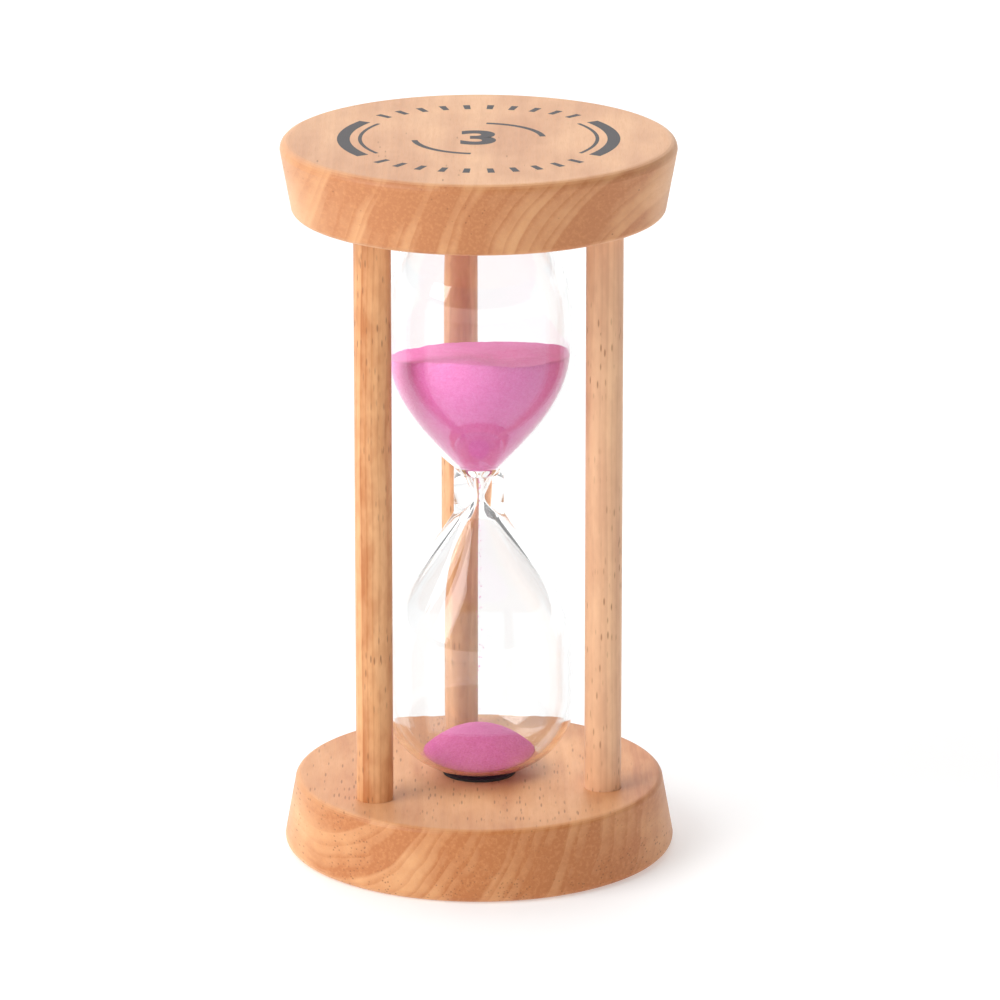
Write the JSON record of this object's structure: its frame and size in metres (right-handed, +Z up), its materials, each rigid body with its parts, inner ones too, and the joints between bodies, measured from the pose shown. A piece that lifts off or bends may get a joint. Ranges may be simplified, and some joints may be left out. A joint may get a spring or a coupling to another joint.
{
  "type": "sand timer",
  "caption": "Small sand timer: a clear glass bulb with coloured sand, held between two tapered round wooden discs by wooden dowels.",
  "frame": {"origin": "centre of the flat face that the timer stands on", "axes": "+Z up along the timer's axis, through the neck of the glass; +Y towards the back dowel, with the other two dowels at the front left and front right"},
  "size_m": [0.053, 0.053, 0.0986],
  "materials": {
    "beech_disc": "sanded and lightly oiled beech, slanting growth bands, short dark flecks",
    "beech_dowel": "sanded beech with the grain along the dowel and short dark flecks",
    "clear_glass": "clear, smooth, fire-polished",
    "black_rubber": "matt black",
    "pink_sand": "fine dyed sand, matt and grainy"
  },
  "bodies": {
    "root": {"base_disc": "beech_disc", "top_disc": "beech_disc", "dowel_left": "beech_dowel", "dowel_right": "beech_dowel", "dowel_back": "beech_dowel", "glass_bulb": "clear_glass", "fill_stopper": "black_rubber", "seat_base": "black_rubber", "seat_top": "black_rubber", "sand_upper": "pink_sand", "sand_lower": "pink_sand", "sand_stream": "pink_sand"}
  },
  "joints": []
}
